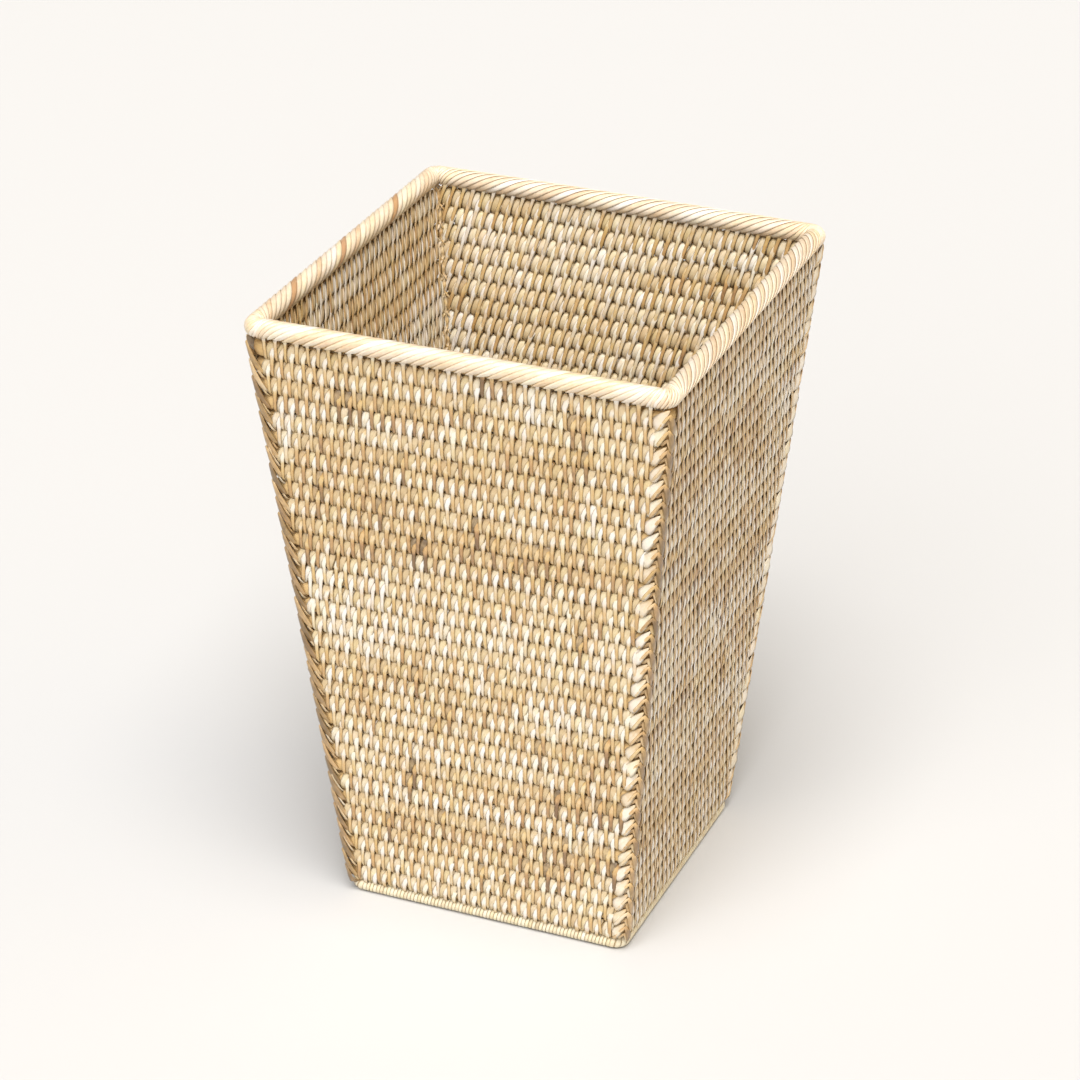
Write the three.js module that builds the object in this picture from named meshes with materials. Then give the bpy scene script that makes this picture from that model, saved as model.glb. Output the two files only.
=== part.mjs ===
// A square rattan wastebasket that tapers towards its base, open at the top.
//
// Thirty-three cores of flat-oval rattan are bent into square hoops and stacked. On each of the
// four sides narrow strips of rattan are sewn round the cores, row to row, and hold them
// together. A lacing of the same strips covers each corner, where the cores bend. The top edge
// is a core whipped round with strips, and so is the thinner foot ring that the basket stands
// on. The bottom is one long core laid to and fro and sewn like the walls.
//
// Millimetres, +Z up. The origin is on the floor, in the middle of the foot ring.

import * as THREE from 'three';

// Driving dimensions.

const height = 300;
const rimAcross = 201;
const rimThickness = 10.3;
const footAcross = 139.5;
const footThickness = 6.4;
const rowCount = 33;
const coreHeight = 6.8;
const coreDepth = 4.4;
const wallThickness = 6.2;
const grooveDepth = 0.9;
const bendRadius = 4;
const lacingThickness = 1;
const rimCoreThickness = 5.4;
const footCoreThickness = 3;
const boreClearance = 0.6;
const baseRunCount = 15;
const gap = 0.3;

// Sizes that follow from them.

const rimHalf = (rimAcross - rimThickness) / 2;
const footHalf = (footAcross - footThickness) / 2;
const rimLevel = height - rimThickness / 2;
const footLevel = footThickness / 2;
const wallBottom = footThickness + gap;
const wallTop = height - rimThickness - gap;
const rowPitch = (wallTop - wallBottom) / rowCount;
const wallDepth = wallThickness / 2;
const taper = (rimHalf - footHalf) / (rimLevel - footLevel);

// Half the distance between opposite walls, middle to middle, at a height.
const wallHalf = (z) => footHalf + taper * (z - footLevel);

const rowLevel = (row) => wallBottom + rowPitch * (row + 0.5);

// Materials.

const finish = (color, roughness) => new THREE.MeshStandardMaterial({ color, roughness, metalness: 0 });
const coreFinish = finish(0xcfae7c, 0.75);
const stripFinish = finish(0xe0c294, 0.5);
const lacingFinish = finish(0xe6cfa6, 0.45);
const rimFinish = finish(0xf3e6cb, 0.4);
const footFinish = finish(0xe9dcbc, 0.5);

const basket = new THREE.Group();

function addPiece(name, geometry, material) {
  const piece = new THREE.Mesh(geometry, material);
  piece.name = name;
  basket.add(piece);
}

// Moves every point of a geometry to the place that a rule gives for it.
function reshape(geometry, place) {
  const points = geometry.attributes.position;
  const point = new THREE.Vector3();
  for (let i = 0; i < points.count; i += 1) {
    point.fromBufferAttribute(points, i);
    const moved = place(point);
    points.setXYZ(i, moved.x, moved.y, moved.z);
  }
  geometry.deleteAttribute('normal');
  geometry.deleteAttribute('uv');
  return geometry;
}

// The six corners of a flat-oval core's section: x is its depth and y its height. The flat
// stretch down each side is half of its height.
function ovalPoints(depth, tall) {
  const x = depth / 2;
  const shoulder = tall / 4;
  const outside = [[0, tall / 2], [x, shoulder], [x, -shoulder]];
  const inside = [[0, -tall / 2], [-x, -shoulder], [-x, shoulder]];
  return [...outside, ...inside].map(([px, py]) => new THREE.Vector2(px, py));
}

// A core bent into a square hoop with cut-off corners. The lathe turns the section into a ring
// of eight straight runs, and the ring's runs are then moved out to the sides and corners.
const lathe = { radius: 50, runs: 8 };

function hoop(section, half, radius, level, slope) {
  const ring = section.map((p) => new THREE.Vector2(lathe.radius + p.x, p.y));
  ring.push(ring[0].clone());
  const flat = half - radius;
  return reshape(new THREE.LatheGeometry(ring, lathe.runs), (p) => {
    const out = Math.hypot(p.x, p.z) - lathe.radius + slope * p.y;
    const end = Math.round(Math.atan2(p.z, p.x) / (Math.PI / 4));
    const turn = Math.floor(end / 2) * (Math.PI / 2);
    const onSide = end % 2 === 0;
    const along = onSide ? new THREE.Vector3(half + out, flat, 0) : new THREE.Vector3(flat, half + out, 0);
    return along.applyAxisAngle(new THREE.Vector3(0, 0, 1), turn).add(new THREE.Vector3(0, 0, level + p.y));
  });
}

// The cores of the walls, from the bottom row to the top one.

for (let row = 0; row < rowCount; row += 1) {
  const level = rowLevel(row);
  const section = ovalPoints(coreDepth, coreHeight);
  const name = `wall_core_${String(row + 1).padStart(2, '0')}`;
  addPiece(name, hoop(section, wallHalf(level), bendRadius, level, taper), coreFinish);
}

// The sewn strips of one side. Its section is a chain of rows with a tunnel in each for the
// core. It is drawn with x as the depth and y as the height, extruded to a unit length along
// the wall, and then spread to the width that the side has at each height.

function rowedOutline(depthOut, depthIn, rows, pitch, start) {
  const outline = [];
  for (let row = 0; row < rows; row += 1) {
    outline.push(new THREE.Vector2(depthOut - grooveDepth, start + pitch * row));
    outline.push(new THREE.Vector2(depthOut, start + pitch * (row + 0.5)));
  }
  outline.push(new THREE.Vector2(depthOut - grooveDepth, start + pitch * rows));
  if (depthIn === null) {
    return outline;
  }
  for (let row = rows; row > 0; row -= 1) {
    outline.push(new THREE.Vector2(-depthIn + grooveDepth, start + pitch * row));
    outline.push(new THREE.Vector2(-depthIn, start + pitch * (row - 0.5)));
  }
  outline.push(new THREE.Vector2(-depthIn + grooveDepth, start));
  return outline;
}

function sewnSection(depth, rows, pitch, start) {
  const shape = new THREE.Shape(rowedOutline(depth, depth, rows, pitch, start));
  for (let row = 0; row < rows; row += 1) {
    const middle = new THREE.Vector2(0, start + pitch * (row + 0.5));
    const tunnel = ovalPoints(coreDepth + 2 * gap, coreHeight + 2 * gap).map((p) => p.add(middle));
    shape.holes.push(new THREE.Path(tunnel.reverse()));
  }
  return shape;
}

const sides = [['front', 0], ['right', 1], ['back', 2], ['left', 3]];

// Turns a point of the front side to another side, a quarter turn at a time.
function turned(x, y, z, quarter) {
  const point = new THREE.Vector3(x, y, z);
  return point.applyAxisAngle(new THREE.Vector3(0, 0, 1), quarter * (Math.PI / 2));
}

const unitDepth = { depth: 1, steps: 1, bevelEnabled: false };

for (const [side, quarter] of sides) {
  const section = sewnSection(wallDepth, rowCount, rowPitch, wallBottom);
  const geometry = reshape(new THREE.ExtrudeGeometry(section, unitDepth), (p) => {
    const half = wallHalf(p.y);
    const end = half - bendRadius;
    return turned((1 - 2 * p.z) * end, -half - p.x, p.y, quarter);
  });
  addPiece(`${side}_stitching`, geometry, stripFinish);
}

// The lacing over each corner. It covers the outside of the bends, from one side's sewing to
// the next, and its surface rises and falls with the rows.

const corners = [['front_right', 0], ['back_right', 1], ['back_left', 2], ['front_left', 3]];
const lacingDepth = coreDepth / 2 + gap;
const halfBend = { depth: 1, steps: 2, bevelEnabled: false };

for (const [corner, quarter] of corners) {
  const outline = rowedOutline(lacingDepth + lacingThickness, null, rowCount, rowPitch, wallBottom);
  outline.push(new THREE.Vector2(lacingDepth - grooveDepth / 2, wallTop));
  outline.push(new THREE.Vector2(lacingDepth - grooveDepth / 2, wallBottom));
  const shape = new THREE.Shape(outline);
  const geometry = reshape(new THREE.ExtrudeGeometry(shape, halfBend), (p) => {
    const centre = wallHalf(p.y) - bendRadius + gap;
    const angle = -p.z * (Math.PI / 2);
    const reach = bendRadius + p.x;
    return turned(centre + reach * Math.cos(angle), -centre + reach * Math.sin(angle), p.y, quarter);
  });
  addPiece(`corner_lacing_${corner}`, geometry, lacingFinish);
}

// A strip binding along one side of the rim or the foot ring. Its section is an eight-sided
// sleeve with a narrow slit, a quarter as wide as its bore, and its ends are mitred against the
// next side's.

const sleeveSides = 8;
const slitShare = 1 / 4;

function sleeveSection(outer, inner, slit) {
  const step = (2 * Math.PI) / sleeveSides;
  const corner = (across, i) => {
    const angle = slit + step * (i + 0.5);
    const reach = across / 2 / Math.cos(step / 2);
    return new THREE.Vector2(reach * Math.cos(angle), reach * Math.sin(angle));
  };
  const lip = (across, sign) => {
    const point = new THREE.Vector2(across / 2, (sign * slitShare * inner) / 2);
    return point.rotateAround(new THREE.Vector2(), slit);
  };
  const outside = Array.from({ length: sleeveSides }, (_, i) => corner(outer, i));
  const inside = Array.from({ length: sleeveSides }, (_, i) => corner(inner, i)).reverse();
  const first = lip(outer, 1);
  const last = lip(outer, -1);
  return new THREE.Shape([first, ...outside, last, lip(inner, -1), ...inside, lip(inner, 1)]);
}

function binding(section, half, level, quarter) {
  return reshape(new THREE.ExtrudeGeometry(section, unitDepth), (p) => {
    const end = half + p.x - gap / 2;
    return turned((1 - 2 * p.z) * end, -half - p.x, level + p.y, quarter);
  });
}

function roundPoints(across) {
  const step = (2 * Math.PI) / sleeveSides;
  return Array.from({ length: sleeveSides }, (_, i) => {
    const angle = -step * (i + 0.5);
    return new THREE.Vector2((across / 2) * Math.cos(angle), (across / 2) * Math.sin(angle));
  });
}

// The smallest bend that a round core of a thickness can make.
const tightBend = (thickness) => thickness / 2 + gap / 3;

// The rim: a round core, bound along all four sides.

const downwards = -Math.PI / 2;
const upwards = Math.PI / 2;

const rimBend = tightBend(rimCoreThickness);
const rimHoop = hoop(roundPoints(rimCoreThickness), rimHalf, rimBend, rimLevel, 0);
addPiece('rim_core', rimHoop, coreFinish);
for (const [side, quarter] of sides) {
  const section = sleeveSection(rimThickness, rimCoreThickness + 2 * boreClearance, downwards);
  addPiece(`rim_binding_${side}`, binding(section, rimHalf, rimLevel, quarter), rimFinish);
}

// The foot ring: the same with a thinner core. The flat underside of its binding is what the
// basket rests on.

const footBend = tightBend(footCoreThickness);
const footHoop = hoop(roundPoints(footCoreThickness), footHalf, footBend, footLevel, 0);
addPiece('foot_core', footHoop, coreFinish);
for (const [side, quarter] of sides) {
  const section = sleeveSection(footThickness, footCoreThickness + 2 * boreClearance, upwards);
  addPiece(`foot_binding_${side}`, binding(section, footHalf, footLevel, quarter), footFinish);
}

// The bottom: one core laid to and fro at the height of the lowest row, in runs from left to
// right with a tight turn between them, and the strips sewn round its runs.

const baseLevel = rowLevel(0);
const baseHalf = wallHalf(wallBottom) - wallDepth - gap;
const runPitch = (2 * baseHalf) / baseRunCount;
const runEnd = baseHalf - runPitch / 2 - coreHeight / 2 - gap;
const turnSteps = 3;

// A line through points, taken point by point however far apart they are.
class JointedLine extends THREE.Curve {
  constructor(points) {
    super();
    this.points = points;
  }

  getPoint(t) {
    const last = this.points.length - 1;
    const place = Math.min(Math.max(t, 0), 1) * last;
    const before = Math.min(Math.floor(place), last - 1);
    return this.points[before].clone().lerp(this.points[before + 1], place - before);
  }

  getPointAt(u) {
    return this.getPoint(u);
  }

  getTangentAt(u) {
    return this.getTangent(u);
  }
}

function basePath() {
  const points = [];
  for (let run = 0; run < baseRunCount; run += 1) {
    const y = -baseHalf + runPitch * (run + 0.5);
    const heading = run % 2 === 0 ? 1 : -1;
    points.push(new THREE.Vector3(-heading * runEnd, y, baseLevel));
    points.push(new THREE.Vector3(heading * runEnd, y, baseLevel));
    for (let step = 1; step < turnSteps && run < baseRunCount - 1; step += 1) {
      const angle = (Math.PI * step) / turnSteps;
      const out = heading * (runEnd + (runPitch / 2) * Math.sin(angle));
      points.push(new THREE.Vector3(out, y + (runPitch / 2) * (1 - Math.cos(angle)), baseLevel));
    }
  }
  return new JointedLine(points);
}

const path = basePath();
const baseSection = new THREE.Shape(ovalPoints(coreDepth, coreHeight));
const alongPath = { extrudePath: path, steps: path.points.length - 1, bevelEnabled: false };
addPiece('base_core', new THREE.ExtrudeGeometry(baseSection, alongPath), coreFinish);

const sewing = sewnSection(wallDepth, baseRunCount, runPitch, -baseHalf);
const sewingLength = runEnd - gap;
const baseSewing = reshape(new THREE.ExtrudeGeometry(sewing, unitDepth), (p) => {
  return new THREE.Vector3((2 * p.z - 1) * sewingLength, p.y, baseLevel - p.x);
});
addPiece('base_stitching', baseSewing, stripFinish);

export default basket;
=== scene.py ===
import math

import bpy
import numpy as np
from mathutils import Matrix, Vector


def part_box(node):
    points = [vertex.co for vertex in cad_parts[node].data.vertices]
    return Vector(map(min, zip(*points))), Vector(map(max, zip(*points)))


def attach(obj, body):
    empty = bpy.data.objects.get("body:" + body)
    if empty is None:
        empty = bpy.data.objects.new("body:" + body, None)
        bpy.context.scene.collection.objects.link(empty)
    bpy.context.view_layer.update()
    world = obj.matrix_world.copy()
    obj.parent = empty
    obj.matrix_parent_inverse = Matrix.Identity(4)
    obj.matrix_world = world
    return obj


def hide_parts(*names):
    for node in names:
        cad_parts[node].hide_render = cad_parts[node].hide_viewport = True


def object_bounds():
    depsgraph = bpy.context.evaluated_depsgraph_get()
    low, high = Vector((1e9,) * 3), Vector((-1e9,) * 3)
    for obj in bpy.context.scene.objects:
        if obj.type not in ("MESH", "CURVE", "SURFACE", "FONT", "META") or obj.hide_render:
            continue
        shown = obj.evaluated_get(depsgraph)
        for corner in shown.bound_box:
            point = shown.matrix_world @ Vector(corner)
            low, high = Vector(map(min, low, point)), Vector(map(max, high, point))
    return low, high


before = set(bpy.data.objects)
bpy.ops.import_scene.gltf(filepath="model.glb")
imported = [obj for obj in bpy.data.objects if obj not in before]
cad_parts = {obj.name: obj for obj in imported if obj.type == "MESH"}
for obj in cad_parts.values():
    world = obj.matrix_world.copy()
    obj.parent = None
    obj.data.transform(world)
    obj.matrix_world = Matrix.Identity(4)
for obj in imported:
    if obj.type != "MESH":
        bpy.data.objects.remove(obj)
cad_lowest, cad_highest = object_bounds()

# ------------------------------------------------------------------------------------------
# The studio. A long lens looks down over the basket's front right corner. Broad, soft lights
# come from the front and from high above, where one reaches inside, and a weak, warm one from
# the right. The floor is plain and pale.

mm = 0.001
full_size = cad_highest - cad_lowest
aim = np.array([0.0, -3.1 * mm, 0.556 * full_size.z])
view_azimuth = math.radians(22.67)
view_elevation = math.radians(27.44)
view_distance = 1.661


def towards(azimuth, elevation):
    """The direction from the basket to a place at this azimuth and elevation, in radians."""
    level = math.cos(elevation)
    return np.array([math.sin(azimuth) * level, -math.cos(azimuth) * level, math.sin(elevation)])


def point_at(thing, place, target):
    thing.location = place
    direction = Vector(target) - Vector(place)
    thing.rotation_euler = direction.to_track_quat("-Z", "Y").to_euler()


bpy.ops.object.camera_add()
camera = bpy.context.object
camera.data.lens = 121.24
camera.data.sensor_width = 36
camera.data.clip_end = 50
point_at(camera, aim + view_distance * towards(view_azimuth, view_elevation), aim)
bpy.context.scene.camera = camera


def soft_light(azimuth, elevation, strength, colour, spread):
    """Light from a whole patch of the sky, so broad that its shadows have no edge."""
    bpy.ops.object.light_add(type="SUN")
    light = bpy.context.object
    light.data.energy = strength
    light.data.color = colour
    light.data.angle = math.radians(spread)
    place = aim + towards(math.radians(azimuth), math.radians(elevation))
    point_at(light, place, aim)


soft_light(azimuth=4, elevation=38, strength=2.0, colour=(1, 0.99, 0.985), spread=52)
soft_light(azimuth=26, elevation=70, strength=3.6, colour=(1, 0.99, 0.985), spread=40)
soft_light(azimuth=86, elevation=40, strength=0.55, colour=(1, 0.74, 0.36), spread=60)

world = bpy.data.worlds.new("studio")
bpy.context.scene.world = world
world.use_nodes = True
world.node_tree.nodes["Background"].inputs["Color"].default_value = (1, 0.92, 0.8, 1)
world.node_tree.nodes["Background"].inputs["Strength"].default_value = 0.2
bpy.context.scene.view_settings.view_transform = "Standard"

bpy.ops.mesh.primitive_plane_add(size=12, location=(0, 0, cad_lowest.z))
floor = bpy.context.object
floor.name = "floor"
floor_finish = bpy.data.materials.new("floor_pale")
floor_finish.use_nodes = True
floor_finish.node_tree.nodes["Principled BSDF"].inputs["Base Color"].default_value = (0.56, 0.56, 0.56, 1)
floor_finish.node_tree.nodes["Principled BSDF"].inputs["Roughness"].default_value = 0.7
floor.data.materials.append(floor_finish)

# ------------------------------------------------------------------------------------------
# The wall cores. Thirty-three lengths of flat-oval rattan core are soaked, bent into square
# hoops that grow towards the top, and stacked. Nothing but the sewing holds them. They show
# as brown, fibrous stripes in the gaps between the strips.

quarter_turn = math.pi / 2
sides = ("front", "right", "back", "left")
row_count = sum(name.startswith("wall_core_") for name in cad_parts)
row_boxes = [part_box(f"wall_core_{row + 1:02d}") for row in range(row_count)]
row_levels = np.array([(low.z + high.z) / 2 for low, high in row_boxes])
row_pitch = (row_levels[-1] - row_levels[0]) / (row_count - 1)
core_height = row_boxes[0][1].z - row_boxes[0][0].z
core_depth = 0.65 * core_height
bend_radius = 4 * mm

rim_low, rim_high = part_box("rim_binding_front")
rim_radius = (rim_high.z - rim_low.z) / 2
rim_level = (rim_high.z + rim_low.z) / 2
rim_half = -rim_low.y - rim_radius
foot_low, foot_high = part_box("foot_binding_front")
foot_radius = (foot_high.z - foot_low.z) / 2
foot_level = (foot_high.z + foot_low.z) / 2
foot_half = -foot_low.y - foot_radius


def wall_half(level):
    """Half the distance between opposite walls, middle to middle, at a height."""
    return foot_half + (rim_half - foot_half) * (level - foot_level) / (rim_level - foot_level)


def turned(x, y, z, quarter):
    """Points of the front side, turned to another side a quarter at a time."""
    cos = round(math.cos(quarter * quarter_turn))
    sin = round(math.sin(quarter * quarter_turn))
    return np.stack([x * cos - y * sin, x * sin + y * cos, z], axis=-1)


def on_square(along, out, half, radius):
    """x and y of points that follow the front side of a rounded square and half of the bend at
    each of its ends. along is measured on the line from the side's middle, and out is how far
    a point lies outside the line. Inside a tight bend the points meet at the mitre."""
    straight = half - radius
    angle = (np.abs(along) - straight) / radius
    reach = np.maximum(radius + out, 0)
    mitre = np.where(radius + out < 0, half + out, straight)
    bent_x = mitre + reach * np.sin(angle)
    bent_y = mitre + reach * np.cos(angle)
    on_bend = angle > 0
    x = np.where(on_bend, np.sign(along) * bent_x, np.clip(along, -mitre, mitre))
    y = np.where(on_bend, bent_y, half + out)
    return x, -y


def start_mesh_work():
    """Leaves edit mode and deselects everything, so that the next operator has only its own piece."""
    if bpy.context.object and bpy.context.object.mode == "EDIT":
        bpy.ops.object.mode_set(mode="OBJECT")
    bpy.ops.object.select_all(action="DESELECT")


def points_of(piece):
    points = np.empty(len(piece.data.vertices) * 3)
    piece.data.vertices.foreach_get("co", points)
    return points.reshape(-1, 3)


hoop_steps = 64
ring_section = 0.25
start_mesh_work()
bpy.ops.mesh.primitive_torus_add(
    major_radius=1, minor_radius=ring_section, major_segments=hoop_steps, minor_segments=10
)
hoop_pattern = bpy.context.object
hoop_pattern.name = "hoop_pattern"


def make_hoop(name, half, radius, level, depth, height, squareness):
    """A copy of the ring, moved out to the sides and bends of a rounded square. Its round
    section becomes a flat oval where squareness is below 1."""
    piece = hoop_pattern.copy()
    piece.data = hoop_pattern.data.copy()
    piece.name = piece.data.name = name
    bpy.context.scene.collection.objects.link(piece)
    ring = points_of(piece)
    around = (np.arctan2(ring[:, 1], ring[:, 0]) / quarter_turn + 1.0001) % 4
    quarter = np.round(around).astype(int)
    share = (around - quarter) * 4
    quarter %= 4
    section_out = (np.hypot(ring[:, 0], ring[:, 1]) - 1) / ring_section
    section_up = ring[:, 2] / ring_section
    out = depth / 2 * np.sign(section_out) * np.abs(section_out) ** squareness
    up = height / 2 * np.sign(section_up) * np.abs(section_up) ** squareness
    straight = half - radius
    bend = radius * quarter_turn / 2
    along = np.clip(share, -1, 1) * straight + (share - np.clip(share, -1, 1)) * bend
    x, y = on_square(along, out, half, radius)
    places = np.empty_like(ring)
    for turn in range(4):
        here = quarter == turn
        places[here] = turned(x[here], y[here], level + up[here], turn)
    piece.data.vertices.foreach_set("co", places.ravel())
    piece.data.update()
    piece.data.shade_smooth()
    return piece


class Wire:
    """A shader socket. A sum written with it adds the Math nodes that work it out."""

    def __init__(self, tree, socket=None):
        self.tree = tree
        self.socket = socket

    def node(self, kind, settings=(), inputs=(), output=0):
        """Adds a node. Its settings come first, with a ramp's stops among them."""
        node = self.tree.nodes.new(kind)
        for key, value in dict(settings).items():
            if key == "stops":
                while len(node.color_ramp.elements) < len(value):
                    node.color_ramp.elements.new(1)
                for element, (place, colour) in zip(node.color_ramp.elements, value):
                    element.position = place
                    element.color = (*colour, 1)
            else:
                setattr(node, key, value)
        for key, value in dict(inputs).items():
            if isinstance(value, Wire):
                self.tree.links.new(value.socket, node.inputs[key])
            else:
                node.inputs[key].default_value = value
        return Wire(self.tree, node.outputs[output])

    def math(self, operation, first, second=0.0):
        return self.node("ShaderNodeMath", {"operation": operation}, {0: first, 1: second})

    def __add__(self, other):
        return self.math("ADD", self, other)

    def __sub__(self, other):
        return self.math("SUBTRACT", self, other)

    def __mul__(self, other):
        return self.math("MULTIPLY", self, other)

    def __pow__(self, other):
        return self.math("POWER", self, other)

    def __abs__(self):
        return self.math("ABSOLUTE", self)

    __radd__ = __add__
    __rmul__ = __mul__


def new_finish(name, roughness, coat=0.0, coat_roughness=0.3):
    """A material with its shader, and a Wire to start its nodes from."""
    finish = bpy.data.materials.new(name)
    finish.use_nodes = True
    shader = finish.node_tree.nodes["Principled BSDF"]
    shader.inputs["Roughness"].default_value = roughness
    shader.inputs["Coat Weight"].default_value = coat
    shader.inputs["Coat Roughness"].default_value = coat_roughness
    return finish, shader, Wire(finish.node_tree)


def mixed(start, share, first, second):
    settings = {"data_type": "RGBA", "clamp_factor": True}
    return start.node("ShaderNodeMix", settings, {0: share, 6: first, 7: second}, output=2)


def core_finish(name, dark, light):
    """Bare rattan core: dull brown, with fine dark pores that run along the bends."""
    finish, shader, start = new_finish(name, roughness=0.8)
    place = start.node("ShaderNodeTexCoord", output="Object")
    stretched = start.node("ShaderNodeMapping", {}, {0: place, 3: (1, 1, 4.5)})
    pores = start.node("ShaderNodeTexNoise", {}, {0: stretched, "Scale": 420, "Detail": 3})
    blotches = start.node("ShaderNodeTexNoise", {}, {0: place, "Scale": 60, "Detail": 2})
    share = 0.7 * pores + 0.6 * blotches - 0.15
    colour = mixed(start, share, (*dark, 1), (*light, 1))
    bump = start.node("ShaderNodeBump", {}, {"Strength": 0.4, "Distance": 0.3 * mm, "Height": pores})
    start.tree.links.new(colour.socket, shader.inputs["Base Color"])
    start.tree.links.new(bump.socket, shader.inputs["Normal"])
    return finish


wall_core_finish = core_finish("wall_core_rattan", (0.46, 0.29, 0.11), (0.76, 0.54, 0.26))


def hand_over(piece, finish, nodes):
    """Gives a finished piece its material and its place on the basket's one body."""
    piece.data.materials.clear()
    piece.data.materials.append(finish)
    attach(piece, "root")
    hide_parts(*nodes)


for row in range(row_count):
    level = row_levels[row]
    name = f"wall_core_hoop_{row + 1:02d}"
    hoop = make_hoop(name, wall_half(level), bend_radius, level, core_depth, core_height, 0.8)
    hand_over(hoop, wall_core_finish, [f"wall_core_{row + 1:02d}"])

# ------------------------------------------------------------------------------------------
# The sewing of the four walls. Strips of split rattan are sewn from row to row. Each stitch shows
# twice on either face: as a long strip that bulges over its own core and runs down over the
# next one, and as a short slanting strip that goes once round its core and fills the space.

strip_steps = {"long": 8, "short": 5}
underside_share = 0.35


def make_strip_pattern(name, corners, steps):
    """A closed strip of unit length along z, a unit wide each way along x, with its round crown
    on the +y side and a flatter underside. It starts as a disc and is extruded step by step."""
    start_mesh_work()
    turn = math.pi / corners
    bpy.ops.mesh.primitive_circle_add(
        vertices=corners, radius=1, fill_type="NGON", rotation=(0, 0, turn)
    )
    bpy.ops.object.transform_apply(rotation=True)
    pattern = bpy.context.object
    pattern.name = name
    for vertex in pattern.data.vertices:
        vertex.select = vertex.co.y < -0.1
    bpy.ops.object.mode_set(mode="EDIT")
    bpy.ops.mesh.select_mode(type="VERT")
    bpy.ops.transform.resize(value=(1, underside_share, 1), center_override=(0, 0, 0))
    bpy.ops.mesh.select_all(action="SELECT")
    for _ in range(steps):
        step = {"value": (0, 0, 1 / steps)}
        bpy.ops.mesh.extrude_region_move(TRANSFORM_OT_translate=step)
    bpy.ops.mesh.select_all(action="SELECT")
    bpy.ops.mesh.normals_make_consistent(inside=False)
    bpy.ops.object.mode_set(mode="OBJECT")
    return pattern


def smooth_frames(lines, outward):
    """Across and outward directions at every point of some lines, for strips that lie on them."""
    runs = np.gradient(lines, axis=1)
    runs /= np.linalg.norm(runs, axis=2, keepdims=True)
    across = np.cross(outward, runs)
    across /= np.linalg.norm(across, axis=2, keepdims=True)
    return across, np.cross(runs, across)


def lay_strips(name, pattern, steps, lines, outward, widths, thickness, tones, tilt=0.0):
    """One mesh with a copy of the strip pattern laid along each line. lines holds the points
    of every strip's middle, one for each of its rings. widths and tones have a value for
    every ring as well. tilt leans the strips, with one edge in and the other out. Each strip
    carries its tone and a number of its own."""
    section = points_of(pattern)
    ring = np.round(section[:, 2] * steps).astype(int)
    level_across, level_up = smooth_frames(lines, outward)
    across = level_across * math.cos(tilt) + level_up * math.sin(tilt)
    up = level_up * math.cos(tilt) - level_across * math.sin(tilt)
    side_shift = section[:, 0, None] * widths[:, ring, None] / 2
    up_shift = section[:, 1, None] * thickness
    places = lines[:, ring] + across[:, ring] * side_shift + up[:, ring] * up_shift

    count = len(lines)
    size = len(section)
    corners = np.empty(len(pattern.data.loops), int)
    pattern.data.loops.foreach_get("vertex_index", corners)
    starts = np.empty(len(pattern.data.polygons), int)
    pattern.data.polygons.foreach_get("loop_start", starts)
    all_corners = (corners + size * np.arange(count)[:, None]).ravel()
    all_starts = (starts + len(corners) * np.arange(count)[:, None]).ravel()

    mesh = bpy.data.meshes.new(name)
    mesh.vertices.add(count * size)
    mesh.loops.add(len(all_corners))
    mesh.polygons.add(len(all_starts))
    mesh.vertices.foreach_set("co", places.astype(np.float32).ravel())
    mesh.loops.foreach_set("vertex_index", all_corners.astype(np.int32))
    mesh.polygons.foreach_set("loop_start", all_starts.astype(np.int32))
    mesh.update(calc_edges=True)
    mesh.shade_smooth()

    run = np.zeros(lines.shape[:2])
    run[:, 1:] = np.cumsum(np.linalg.norm(np.diff(lines, axis=1), axis=2), axis=1)
    flat = np.stack([np.broadcast_to(section[:, 0], (count, size)), run[:, ring] / mm], axis=-1)
    layer = mesh.uv_layers.new(name="strip")
    layer.data.foreach_set("uv", flat.reshape(-1, 2)[all_corners].astype(np.float32).ravel())
    numbers = np.repeat(chance.random(count), size)
    for label, values in (("tone", tones[:, ring].ravel()), ("number", numbers)):
        attribute = mesh.attributes.new(label, "FLOAT", "POINT")
        attribute.data.foreach_set("value", values.astype(np.float32))

    piece = bpy.data.objects.new(name, mesh)
    bpy.context.scene.collection.objects.link(piece)
    return piece


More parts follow.
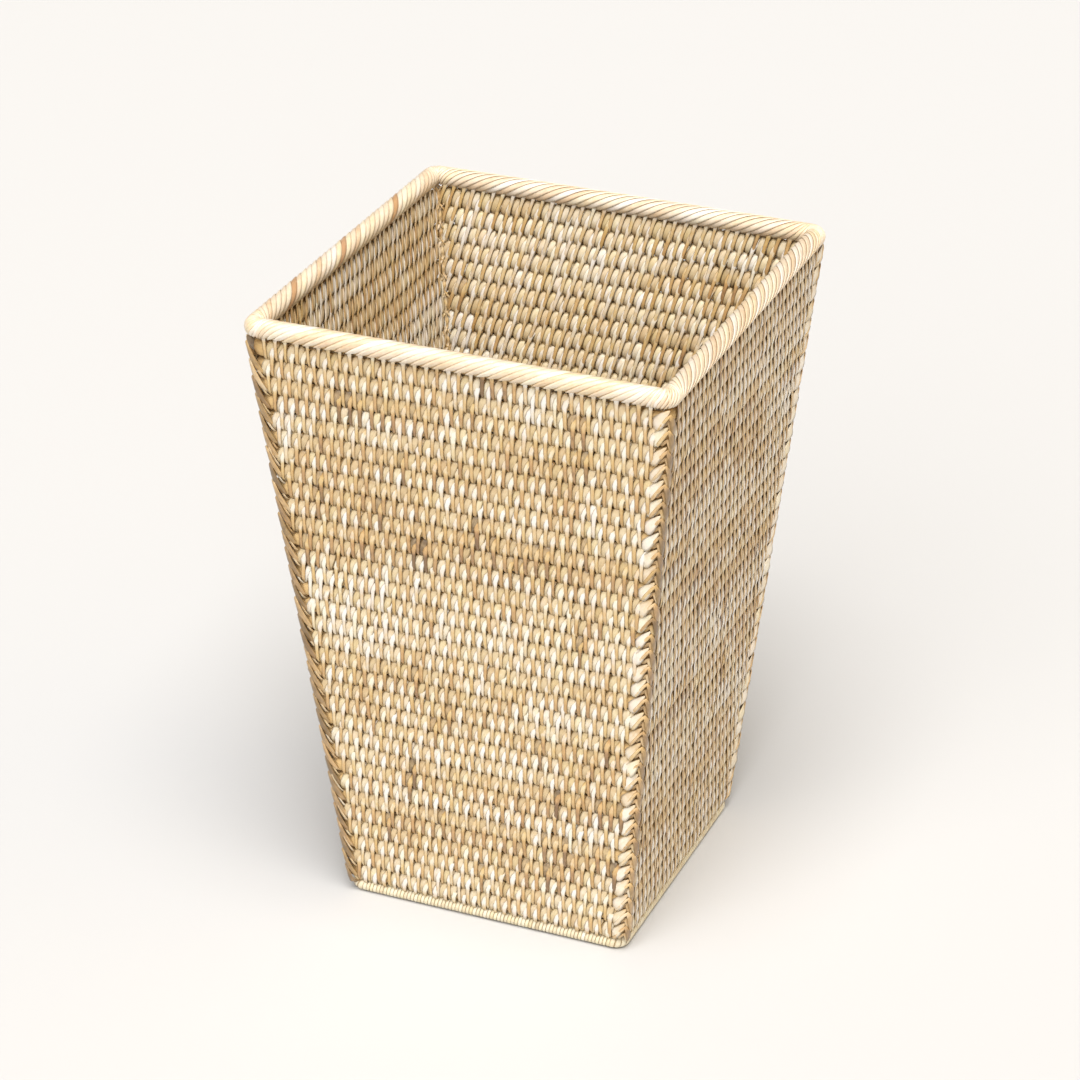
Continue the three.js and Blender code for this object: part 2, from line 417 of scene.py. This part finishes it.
def strip_finish(name, stops, roughness, coat, bump_strength=0.35, edge_wear_and_shade_share=0.32):
    """Split rattan with its skin on: silky, streaked along its length, and darker and browner
    towards its edges, partly its real darker cut edges and partly painted shade where the strips meet. The
    tone of each strip picks its place on the ramp of colours."""
    finish, shader, start = new_finish(name, roughness, coat, coat_roughness=0.28)
    tone = start.node("ShaderNodeAttribute", {"attribute_name": "tone"}, output="Fac")
    number = start.node("ShaderNodeAttribute", {"attribute_name": "number"}, output="Fac")
    flat = start.node("ShaderNodeUVMap", {"uv_map": "strip"})
    across = start.node("ShaderNodeSeparateXYZ", {}, {0: flat}, output=0)
    along = start.node("ShaderNodeSeparateXYZ", {}, {0: flat}, output=1)
    streak_place = start.node("ShaderNodeCombineXYZ", {}, {0: 1.6 * across, 1: 0.16 * along, 2: 37 * number})
    streaks = start.node("ShaderNodeTexNoise", {}, {0: streak_place, "Scale": 2.2, "Detail": 4})
    patch_place = start.node("ShaderNodeCombineXYZ", {}, {0: 0.3 * across, 1: 0.35 * along, 2: 53 * number})
    patches = start.node("ShaderNodeTexNoise", {}, {0: patch_place, "Scale": 1.0, "Detail": 2})
    shade = tone + 0.5 * (streaks - 0.5) + 0.3 * (patches - 0.5)
    colour = start.node("ShaderNodeValToRGB", {"stops": stops}, {0: shade})
    tints = [
        (0.0, (0.88, 0.81, 0.74)),
        (0.35, (0.9, 0.88, 0.86)),
        (0.65, (0.9, 0.88, 0.85)),
        (1.0, (0.9, 0.87, 0.74)),
    ]
    tint = start.node("ShaderNodeValToRGB", {"stops": tints}, {0: number})
    multiply = {"data_type": "RGBA", "blend_type": "MULTIPLY"}
    tinted = start.node("ShaderNodeMix", multiply, {0: 1.0, 6: colour, 7: tint}, output=2)
    # Edges darken towards brown: partly real cut-edge wear, partly painted shade between neighbouring
    # strips.
    edge = abs(across) ** 6
    edge_wear_and_shade = mixed(start, edge_wear_and_shade_share * edge, tinted, (0.44, 0.26, 0.08, 1))
    bump = start.node(
        "ShaderNodeBump", {}, {"Strength": bump_strength, "Distance": 0.25 * mm, "Height": streaks}
    )
    rough = roughness + 0.25 * (streaks - 0.5)
    start.tree.links.new(edge_wear_and_shade.socket, shader.inputs["Base Color"])
    start.tree.links.new(rough.socket, shader.inputs["Roughness"])
    start.tree.links.new(bump.socket, shader.inputs["Normal"])
    return finish


wall_strip_finish = strip_finish(
    "wall_strip_rattan",
    [
        (0.00, (0.22, 0.13, 0.06)),
        (0.15, (0.40, 0.24, 0.11)),
        (0.32, (0.56, 0.35, 0.15)),
        (0.48, (0.66, 0.46, 0.21)),
        (0.62, (0.72, 0.55, 0.31)),
        (0.80, (0.78, 0.69, 0.55)),
        (1.00, (0.86, 0.83, 0.78)),
    ],
    roughness=0.38,
    coat=0.5,
)

short_strip_finish = strip_finish(
    "short_strip_rattan",
    [
        (0.00, (0.20, 0.14, 0.08)),
        (0.15, (0.38, 0.28, 0.16)),
        (0.35, (0.57, 0.43, 0.24)),
        (0.60, (0.66, 0.54, 0.34)),
        (0.82, (0.75, 0.67, 0.51)),
        (1.00, (0.83, 0.79, 0.72)),
    ],
    roughness=0.5,
    coat=0.15,
)

stitch_pitch = 5.06 * mm
lacing_reach = 4.1 * mm
chance = np.random.default_rng(33)

# Each line is a list of places: share of a stitch to the right, rows above its own core's
# middle, and millimetres out from the middle of the wall. The last number of each place is added
# to the strip's tone there: painted highlight where the strip bulges over its crown, painted shade where it
# dips into a groove.
outer_lines = {
    "long": [
        (0.62, 0.50, 1.1, 0.0),
        (0.42, 0.33, 2.0, 0.15),
        (0.20, 0.12, 2.7, 0.40),
        (0.04, -0.14, 3.05, 0.42),
        (0.00, -0.46, 2.75, 0.08),
        (0.00, -0.82, 3.1, -0.06),
        (-0.01, -1.14, 3.15, -0.06),
        (-0.03, -1.36, 2.6, 0.0),
        (-0.05, -1.50, 1.6, -0.1),
    ],
    "short": [
        (0.10, 0.56, 1.3, -0.1),
        (-0.01, 0.38, 2.1, 0.05),
        (-0.13, 0.18, 2.55, 0.12),
        (-0.28, -0.04, 2.65, 0.06),
        (-0.42, -0.26, 2.35, 0.0),
        (-0.54, -0.50, 1.6, -0.1),
    ],
}
inner_lines = {
    "long": [
        (0.72, 0.50, 1.1, 0.0),
        (0.52, 0.34, 2.0, 0.15),
        (0.28, 0.14, 2.7, 0.35),
        (0.08, -0.12, 3.05, 0.35),
        (-0.08, -0.46, 2.75, 0.05),
        (-0.24, -0.82, 3.1, -0.05),
        (-0.38, -1.14, 3.15, 0.0),
        (-0.46, -1.36, 2.6, 0.15),
        (-0.50, -1.50, 1.5, 0.0),
    ],
    "short": [
        (0.05, 0.56, 1.3, 0.0),
        (-0.02, 0.38, 2.1, 0.05),
        (-0.12, 0.18, 2.55, 0.12),
        (-0.24, -0.04, 2.65, 0.08),
        (-0.34, -0.26, 2.35, 0.0),
        (-0.42, -0.50, 1.3, -0.1),
    ],
}
outer_shift = 0.47
inner_shift = 0.62
long_widths = np.array([1.5, 2.2, 2.6, 2.5, 1.9, 1.75, 1.7, 1.5, 0.9]) * mm
short_widths = np.array([2.6, 3.5, 3.8, 3.7, 3.2, 2.2]) * mm
strip_thickness = 0.52 * mm
# Tone added to every strip on the inside faces: painted light that brightens the inside of the basket.
inner_painted_light = 0.1
stitches_per_strip = 12
dark_stitch_chance = 0.02
foot_tuck = 1.4 * mm

# How far the stitches stray: as shares of the stitch pitch, the row pitch, or their own measure.
stray = {"sideways": 0.05, "lean": 0.05, "height": 0.025, "depth": 0.03, "width": 0.08}


def sewing_tones(count):
    """The tones of one row's stitches. A strip lasts for about a dozen stitches before the next
    one, of another colour, takes over."""
    tones = np.empty(count)
    tone = 0.5
    for stitch in range(count):
        if stitch == 0 or chance.random() < 1 / stitches_per_strip:
            tone = np.clip(chance.normal(0.52, 0.13), 0.12, 0.84)
        tones[stitch] = tone - 0.35 * (chance.random() < dark_stitch_chance)
    return tones + chance.normal(0, 0.09, count)


def row_stitches(half, shift, pitch):
    """Places along a row for its stitches, from the middle outwards by whole stitches."""
    first = math.ceil(-half / pitch - shift)
    last = math.floor(half / pitch - shift)
    return (np.arange(first, last + 1) + shift) * pitch


def sewn_face(name, pattern, steps, places, levels, line, widths, tones, to_world, outward):
    """All the strips of one kind on one face. places and levels say where each stitch is."""
    line = np.array(line)
    count = len(places)
    sideways = line[:, 0] * stitch_pitch
    sideways = sideways + chance.normal(0, stray["sideways"], (count, 1)) * stitch_pitch
    from_middle = line[:, 1] - line[:, 1].mean()
    lean = chance.normal(0, stray["lean"], (count, 1)) * from_middle * stitch_pitch
    along = places[:, None] + sideways + lean
    rows = line[:, 1] + chance.normal(0, stray["height"], (count, 1))
    level = levels[:, None] + rows * row_pitch
    depth = line[:, 2] * mm * (1 + chance.normal(0, stray["depth"], (count, 1)))
    lines = to_world(along, depth, level)
    spread = widths * (1 + chance.normal(0, stray["width"], (count, 1)))
    # line[:, 3] adds painted highlight on the crowns and painted shade in the grooves to the tone
    tone = tones[:, None] + line[:, 3]
    return lay_strips(name, pattern, steps, lines, outward, spread, strip_thickness, tone)


patterns = {
    kind: make_strip_pattern(f"{kind}_strip_pattern", 6, strip_steps[kind]) for kind in strip_steps
}
kind_widths = {"long": long_widths, "short": short_widths}
kind_finishes = {"long": wall_strip_finish, "short": short_strip_finish}


def sew_wall(side, quarter, face):
    """The strips of one face of one wall. Right is always as seen from that face. The strips
    of the lowest row turn in above the foot ring, and long ones hang from the rim too."""
    facing = 1 if face == "outer" else -1
    most = math.ceil(2 * rim_half / stitch_pitch) + 1
    row_tones = [sewing_tones(most) for _ in range(row_count + 1)]
    lines = outer_lines if face == "outer" else inner_lines
    shift = outer_shift if face == "outer" else inner_shift

    def to_world(along, depth, level):
        below = np.clip((foot_high.z - level) / row_pitch, 0, 1)
        level = np.maximum(level, foot_high.z - foot_tuck * below)
        depth = depth * (1 - below)
        return turned(facing * along, -wall_half(level) - facing * depth, level, quarter)

    outward = turned(0.0, -facing, 0.0, quarter)
    for kind in ("long", "short"):
        places, levels, tones = [], [], []
        for row in range(row_count + (kind == "long")):
            level = row_levels[0] + row * row_pitch
            half = wall_half(level) - lacing_reach
            row_places = row_stitches(half, (shift * row) % 1, stitch_pitch)
            places.append(row_places)
            levels.append(np.full(len(row_places), level))
            tones.append(row_tones[row][: len(row_places)] + inner_painted_light * (face == "inner"))
        places, levels, tones = (np.concatenate(part) for part in (places, levels, tones))
        name = f"{side}_{face}_{kind}_strips"
        piece = sewn_face(
            name, patterns[kind], strip_steps[kind], places, levels, lines[kind],
            kind_widths[kind], tones, to_world, outward,
        )
        hand_over(piece, kind_finishes[kind], [f"{side}_stitching"])


for quarter, side in enumerate(sides):
    for face in ("outer", "inner"):
        sew_wall(side, quarter, face)

# ------------------------------------------------------------------------------------------
# The corner lacing. At every row a wide strip climbs out of the wall to the corner, overlapping
# its neighbours like a scale. A golden rib along its lower edge goes on over the corner and down
# the next wall, with a narrow strip beneath it. Inside, two narrow strips cross in the angle.

lacing_finish = strip_finish(
    "lacing_strip_rattan",
    [
        (0.00, (0.22, 0.14, 0.06)),
        (0.20, (0.38, 0.25, 0.12)),
        (0.40, (0.62, 0.42, 0.20)),
        (0.56, (0.72, 0.56, 0.34)),
        (0.76, (0.80, 0.71, 0.55)),
        (1.00, (0.87, 0.82, 0.73)),
    ],
    roughness=0.4,
    coat=0.4,
)
lacing_steps = 12
lacing_pattern = make_strip_pattern("lacing_strip_pattern", 6, lacing_steps)
lacing_radius = 0.9 * mm
lacing_level = {"outer": 2.6 * mm, "inner": 0.0}

# Each line is a list of places: millimetres to the right of the corner, rows above its own
# row, millimetres out from the middle of the wall, width in millimetres, and tone.
outer_lacing = {
    "scale": [
        (-7.3, -0.50, 1.0, 1.0, 0.60), (-6.7, -0.40, 2.0, 3.6, 0.75), (-6.0, -0.28, 2.6, 5.0, 0.85),
        (-5.3, -0.15, 3.0, 5.6, 0.90), (-4.6, -0.03, 3.15, 5.6, 0.90), (-3.9, 0.09, 3.2, 5.2, 0.88),
        (-3.2, 0.21, 3.1, 4.6, 0.84), (-2.5, 0.33, 3.0, 3.9, 0.80), (-1.9, 0.43, 2.8, 3.1, 0.74),
        (-1.3, 0.52, 2.6, 2.3, 0.68), (-0.8, 0.59, 2.4, 1.5, 0.60), (-0.4, 0.63, 2.2, 0.9, 0.55),
        (-0.1, 0.66, 2.0, 0.5, 0.50),
    ],
    # The rib's tone falls where it runs down the wall to the right of the corner: painted shade for that
    # darker, shaded face.
    "rib": [
        (-6.0, -0.62, 0.8, 0.8, 0.45), (-5.2, -0.49, 2.5, 1.2, 0.50), (-4.2, -0.32, 3.5, 1.5, 0.50),
        (-3.1, -0.12, 3.7, 1.6, 0.48), (-2.0, 0.09, 3.5, 1.6, 0.46), (-0.9, 0.30, 3.3, 1.6, 0.42),
        (0.0, 0.44, 3.1, 1.9, 0.34), (0.8, 0.14, 3.5, 2.8, 0.18), (1.6, -0.20, 3.8, 3.3, 0.12),
        (2.5, -0.54, 3.8, 3.4, 0.14), (3.5, -0.88, 3.4, 3.0, 0.22), (4.6, -1.18, 2.7, 2.2, 0.32),
        (5.6, -1.42, 0.9, 1.1, 0.36),
    ],
    "under": [
        (-3.6, -0.46, 1.0, 1.6, 0.40), (-2.8, -0.36, 2.0, 2.0, 0.40), (-1.8, -0.22, 2.0, 2.2, 0.38),
        (-0.9, -0.10, 2.2, 2.2, 0.36), (0.0, -0.02, 2.3, 2.1, 0.36), (0.7, -0.28, 2.7, 2.0, 0.44),
        (1.4, -0.54, 3.2, 2.0, 0.54), (2.1, -0.80, 3.2, 1.5, 0.60), (2.9, -1.06, 3.1, 1.4, 0.62),
        (3.7, -1.30, 2.9, 1.4, 0.62), (4.4, -1.50, 2.5, 1.3, 0.60), (5.0, -1.64, 1.7, 1.3, 0.50),
        (5.6, -1.74, 0.7, 0.9, 0.45),
    ],
}
lacing_thickness = {"scale": 0.65 * mm, "rib": 0.7 * mm, "under": 0.6 * mm}
lacing_tilts = {"scale": math.radians(-14), "rib": math.radians(-9), "under": 0.0}
inner_lacing_thickness = 0.6 * mm
corner_reach = 4 * mm
inner_lacing = [
    (-5.6, -0.85, 0.6, 1.0, 0.4), (-4.8, -0.71, 1.9, 1.6, 0.45), (-4.0, -0.54, 2.6, 1.9, 0.5),
    (-3.2, -0.37, 2.9, 1.9, 0.55), (-2.4, -0.22, 3.1, 1.9, 0.5), (-1.5, -0.10, 3.4, 1.9, 0.45),
    (0.0, 0.0, 3.6, 1.8, 0.42), (1.5, 0.10, 3.4, 1.9, 0.45), (2.4, 0.22, 3.1, 1.9, 0.5),
    (3.2, 0.37, 2.9, 1.9, 0.55), (4.0, 0.54, 2.6, 1.9, 0.5), (4.8, 0.71, 1.9, 1.6, 0.45),
    (5.6, 0.85, 0.6, 1.0, 0.4),
]


def round_corner(along, depth, level, quarter, lift):
    """Places near the right-hand corner of a side, by their distance to either side of the
    corner's edge. The edge lies outside the middle of the wall by the lift."""
    half = wall_half(level) + lift
    reach = half - lacing_radius * (1 - quarter_turn / 2) - np.abs(along)
    x, y = on_square(reach, depth - lift, half, lacing_radius)
    flip = along > 0
    x, y = np.where(flip, -y, x), np.where(flip, -x, y)
    return turned(x, y, level, quarter)


def lace_corner(name, line, quarter, thickness, tilt, facing, mirror=1):
    """Strips over one corner, one to a row. mirror turns them to lean the other way."""
    line = np.array(line)
    per_strip = (row_count, 1)
    rows = mirror * line[:, 1] + chance.normal(0, 0.035, per_strip)
    level = row_levels[:, None] + rows * row_pitch
    along = facing * line[:, 0] * mm * (1 + chance.normal(0, 0.05, per_strip))
    depth = facing * line[:, 2] * mm * (1 + chance.normal(0, 0.04, per_strip))
    below = np.clip((foot_high.z - level) / row_pitch, 0, 1)
    level = np.clip(level, foot_high.z - foot_tuck * below, rim_level)
    lift = lacing_level["outer" if facing > 0 else "inner"]
    lines = round_corner(along, depth * (1 - below), level, quarter, lift)
    diagonal = turned(np.array(1.0), np.array(-1.0), np.array(0.0), quarter) * facing
    out_left = turned(np.array(0.0), np.array(-1.0), np.array(0.0), quarter) * facing
    out_right = turned(np.array(1.0), np.array(0.0), np.array(0.0), quarter) * facing
    share = np.clip(along / corner_reach * facing, -1, 1)[..., None]
    outward = diagonal * (1 - np.abs(share))
    outward = outward + np.where(share < 0, out_left, out_right) * np.abs(share)
    widths = line[:, 3] * mm * (1 + chance.normal(0, 0.08, per_strip))
    tones = line[:, 4] + chance.normal(0, 0.09, per_strip) + inner_painted_light * (facing < 0)
    return lay_strips(
        name, lacing_pattern, lacing_steps, lines, outward, widths, thickness, tones, tilt
    )


corner_names = ("front_right", "back_right", "back_left", "front_left")
for quarter, corner in enumerate(corner_names):
    node = f"corner_lacing_{corner}"
    for layer, line in outer_lacing.items():
        name = f"{corner}_{layer}_lacing"
        piece = lace_corner(name, line, quarter, lacing_thickness[layer], lacing_tilts[layer], 1)
        hand_over(piece, lacing_finish, [node])
    for lean, mirror in (("rising", 1), ("falling", -1)):
        name = f"{corner}_inner_{lean}_lacing"
        piece = lace_corner(name, inner_lacing, quarter, inner_lacing_thickness, 0.0, -1, mirror)
        hand_over(piece, wall_strip_finish, [node])

# ------------------------------------------------------------------------------------------
# The rim. A thick round core is laid on the top row and whipped with wide, pale strips, one for
# each stitch of the wall and closer together at the corners. Every strip starts at the wall,
# climbs over the core at a slant and ends at the wall on the other side.

rim_corner_radius = 3.5 * mm
rim_strand_steps = 28
rim_pattern = make_strip_pattern("rim_strand_pattern", 8, rim_strand_steps)
rim_strand_lift = 1.15 * mm
rim_start = math.radians(-50)
rim_sweep = math.radians(294)
rim_advance = 38 * mm
rim_tilt = math.radians(13)
rim_crowding = 11 * mm
rim_crowding_share = 0.84
rim_overlap = 1.15
narrowest_strand = 0.6 * mm
widest_strand = 6 * mm

rim_finish = strip_finish(
    "rim_strip_rattan",
    [
        (0.00, (0.52, 0.31, 0.17)),
        (0.30, (0.70, 0.52, 0.34)),
        (0.55, (0.78, 0.66, 0.50)),
        (0.75, (0.83, 0.75, 0.64)),
        (1.00, (0.87, 0.84, 0.80)),
    ],
    roughness=0.36,
    coat=0.4,
    bump_strength=0.25,
    edge_wear_and_shade_share=0.04,
)


def on_ring(run, out, up, half, radius, level):
    """Places on a whole rounded square, by their distance round its middle line."""
    quarter_length = 2 * (half - radius) + radius * quarter_turn
    turn = np.floor(run / quarter_length + 0.5)
    x, y = on_square(run - turn * quarter_length, out, half, radius)
    quarter = turn.astype(int) % 4
    places = np.empty((*run.shape, 3))
    for side in range(4):
        here = quarter == side
        places[here] = turned(x[here], y[here], (level + up)[here], side)
    return places


# A strand's crown stands about this share of its thickness above its middle line.
crown_share = 0.87


def whip_ring(name, pattern, run, half, radius, level, thickness, start, sweep, lift, tones,
              tilt, overlap, shown):
    """Strands wound round part of a ring. run holds the places of every strand of the whole
    ring along it. shown picks the strands of this piece. Each is wider by the overlap than
    the room that its neighbours leave it."""
    steps = run.shape[1] - 1
    share = np.linspace(0, 1, steps + 1)
    angle = start + sweep * share
    middle = thickness - crown_share * lift
    out = np.broadcast_to(middle * np.cos(angle), run.shape)
    up = np.broadcast_to(middle * np.sin(angle), run.shape)
    lines = on_ring(run, out, up, half, radius, level)
    outward = lines - on_ring(run, 0 * out, 0 * up, half, radius, level)
    outward /= np.linalg.norm(outward, axis=2, keepdims=True)
    heading = np.gradient(lines, axis=1)
    heading /= np.linalg.norm(heading, axis=2, keepdims=True)
    neighbours = np.roll(lines, -1, axis=0) - np.roll(lines, 1, axis=0)
    room = np.linalg.norm(np.cross(neighbours, heading), axis=2) / 2
    room = np.clip(room * overlap, narrowest_strand, widest_strand)
    room = room * (1 + chance.normal(0, 0.04, (len(run), 1)))
    tips = np.minimum(1, 0.4 + 8 * np.minimum(share, 1 - share))
    tone = tones[:, None] + 0 * share
    widths = room * tips
    return lay_strips(
        name, pattern, steps, lines[shown], outward[shown], widths[shown], lift, tone[shown], tilt
    )


# Towards a corner the strands come closer together and slant less, so that they fan out round
# its outside. The strands are counted from the middle of one bend to the middle of the next.
rim_quarter = 2 * (rim_half - rim_corner_radius) + rim_corner_radius * quarter_turn
counted_places = np.linspace(0, rim_quarter, 400)
from_bend = np.minimum(counted_places, rim_quarter - counted_places)
strand_room = stitch_pitch * (1 - rim_crowding_share * np.exp(-((from_bend / rim_crowding) ** 2)))
strand_count = np.cumsum(1 / strand_room) * counted_places[1]
rim_per_side = round(strand_count[-1])
strand_count *= rim_per_side / strand_count[-1]


def rim_place(count):
    """Distance round the ring of the strand with this number, whole or not."""
    return (count // rim_per_side - 0.5) * rim_quarter + np.interp(
        count % rim_per_side, strand_count, counted_places
    )


rim_strands = np.arange(4 * rim_per_side)
outside_share = -rim_start / rim_sweep
sweep_shares = np.linspace(0, 1, rim_strand_steps + 1) - outside_share
rim_runs = rim_place(rim_strands[:, None] + rim_advance / stitch_pitch * sweep_shares)
rim_tones = np.clip(chance.normal(0.68, 0.12, len(rim_strands)), 0.35, 0.95)
rim_tones[1::2] -= 0.12
for share in (0.25, 0.47, 0.68):
    left_strand = int((3 + share) * rim_per_side)
    rim_tones[left_strand] = 0.0
rim_core_thickness = 2 * (rim_radius - rim_strand_lift)
rim_hoop = make_hoop(
    "rim_core_hoop", rim_half, rim_corner_radius, rim_level, rim_core_thickness,
    rim_core_thickness, 1.0,
)
hand_over(rim_hoop, wall_core_finish, ["rim_core"])
for quarter, side in enumerate(sides):
    shown = slice(quarter * rim_per_side, (quarter + 1) * rim_per_side)
    piece = whip_ring(
        f"rim_whipping_{side}", rim_pattern, rim_runs, rim_half, rim_corner_radius, rim_level,
        rim_radius, rim_start, rim_sweep, rim_strand_lift, rim_tones, rim_tilt, rim_overlap,
        shown,
    )
    hand_over(piece, rim_finish, [f"rim_binding_{side}"])

# ------------------------------------------------------------------------------------------
# The foot ring. A thinner core, closely whipped with narrow cream strips, turn against turn.
# It is sewn under the bottom row and is all that touches the floor.

foot_corner_radius = 4 * mm
foot_strand_steps = 14
foot_pattern = make_strip_pattern("foot_strand_pattern", 6, foot_strand_steps)
foot_pitch = 1.75 * mm
foot_strand_lift = 0.5 * mm
foot_slant = 1.6
foot_length = 4 * (2 * (foot_half - foot_corner_radius) + foot_corner_radius * quarter_turn)
foot_per_side = round(foot_length / 4 / foot_pitch)
foot_count = 4 * foot_per_side

foot_finish = strip_finish(
    "foot_strip_rattan",
    [
        (0.00, (0.50, 0.38, 0.22)),
        (0.35, (0.74, 0.64, 0.44)),
        (0.65, (0.84, 0.77, 0.58)),
        (1.00, (0.90, 0.86, 0.72)),
    ],
    roughness=0.5,
    coat=0.15,
)
foot_tones = np.clip(chance.normal(0.6, 0.14, foot_count), 0.2, 0.95)
foot_starts = np.arange(foot_count) * foot_length / foot_count - foot_length / 8
foot_runs = foot_starts[:, None] + foot_slant * foot_pitch * np.linspace(0, 1, foot_strand_steps + 1)
foot_core_thickness = 2 * (foot_radius - foot_strand_lift)
foot_hoop = make_hoop(
    "foot_core_hoop", foot_half, foot_corner_radius, foot_level, foot_core_thickness,
    foot_core_thickness, 1.0,
)
hand_over(foot_hoop, wall_core_finish, ["foot_core"])
for quarter, side in enumerate(sides):
    shown = slice(quarter * foot_per_side, (quarter + 1) * foot_per_side)
    piece = whip_ring(
        f"foot_whipping_{side}", foot_pattern, foot_runs, foot_half, foot_corner_radius,
        foot_level, foot_radius, math.radians(-90), 2 * math.pi, foot_strand_lift, foot_tones,
        0.0, 1.0, shown,
    )
    hand_over(piece, foot_finish, [f"foot_binding_{side}"])

# ------------------------------------------------------------------------------------------
# The bottom. One long core is laid to and fro from wall to wall, fifteen runs with a tight
# turn between them, and sewn above and below like the walls. A ring of strips, close together,
# then sews its edge to the walls.

base_low, base_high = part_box("base_stitching")
base_level = (base_low.z + base_high.z) / 2
base_runs = 15
base_pitch = (base_high.y - base_low.y) / base_runs
base_reach = (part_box("base_core")[1].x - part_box("base_core")[0].x) / 2
base_steps = 10


def base_line():
    """The middle line of the core that is laid to and fro."""
    points = []
    run_end = base_high.y - base_pitch / 2 - core_height / 2
    for run in range(base_runs):
        y = base_low.y + base_pitch * (run + 0.5)
        heading = 1 if run % 2 == 0 else -1
        for share in np.linspace(-1, 1, 5):
            points.append((heading * run_end * share, y, base_level))
        if run < base_runs - 1:
            for angle in np.linspace(0, math.pi, base_steps + 1)[1:-1]:
                out = heading * (run_end + base_pitch / 2 * math.sin(angle))
                points.append((out, y + base_pitch / 2 * (1 - math.cos(angle)), base_level))
    return np.array(points)


base_points = base_line()
core_run_steps = len(base_points) - 1
core_run_pattern = make_strip_pattern("core_run_pattern", 8, core_run_steps)
section = points_of(core_run_pattern)
section[:, 1] = np.where(section[:, 1] < 0, section[:, 1] / underside_share, section[:, 1])
core_run_pattern.data.vertices.foreach_set("co", section.ravel())
core_widths = np.full((1, core_run_steps + 1), core_height)
core_tones = np.full((1, core_run_steps + 1), 0.4)
base_core = lay_strips(
    "base_core_run", core_run_pattern, core_run_steps, base_points[None], np.array([0.0, 0.0, 1.0]),
    core_widths, core_depth / 2, core_tones,
)
hand_over(base_core, wall_core_finish, ["base_core"])

for face, facing in (("upper", 1), ("lower", -1)):
    lines = inner_lines if face == "upper" else outer_lines
    places, levels, tones = [], [], []
    for run in range(base_runs):
        run_places = row_stitches(base_reach, (outer_shift * run) % 1, stitch_pitch)
        places.append(run_places)
        levels.append(np.full(len(run_places), base_low.y + base_pitch * (run + 0.5)))
        tones.append(sewing_tones(len(run_places)))
    places, levels, tones = (np.concatenate(part) for part in (places, levels, tones))

    def to_base(along, depth, level):
        along = np.clip(along, -base_reach, base_reach)
        level = np.clip(level, base_low.y, base_high.y)
        return np.stack([facing * along, level, base_level + facing * depth], axis=-1)

    for kind in ("long", "short"):
        piece = sewn_face(
            f"base_{face}_{kind}_strips", patterns[kind], strip_steps[kind], places, levels,
            lines[kind], kind_widths[kind], tones, to_base, np.array([0.0, 0.0, facing]),
        )
        hand_over(piece, kind_finishes[kind], ["base_stitching"])

edge_half = base_high.y + 0.9 * mm
edge_pitch = 2.6 * mm
edge_radius = 1.8 * mm
edge_slant = 1.3
edge_overlap = 1.1
edge_length = 4 * (2 * (edge_half - foot_corner_radius) + foot_corner_radius * quarter_turn)
edge_count = 4 * round(edge_length / 4 / edge_pitch)
edge_starts = np.arange(edge_count) * edge_length / edge_count
edge_runs = edge_starts[:, None] + edge_slant * edge_pitch * np.linspace(0, 1, foot_strand_steps + 1)
edge_tones = np.clip(chance.normal(0.55, 0.12, edge_count), 0.2, 0.9)
piece = whip_ring(
    "base_edge_stitches", foot_pattern, edge_runs, edge_half, foot_corner_radius, base_level,
    edge_radius, math.radians(-90), 2 * math.pi, foot_strand_lift, edge_tones, 0.0, edge_overlap,
    slice(None),
)
hand_over(piece, wall_strip_finish, ["base_stitching"])

ring_patterns = (hoop_pattern, lacing_pattern, rim_pattern, foot_pattern, core_run_pattern)
for pattern in (*ring_patterns, *patterns.values()):
    bpy.data.objects.remove(pattern)
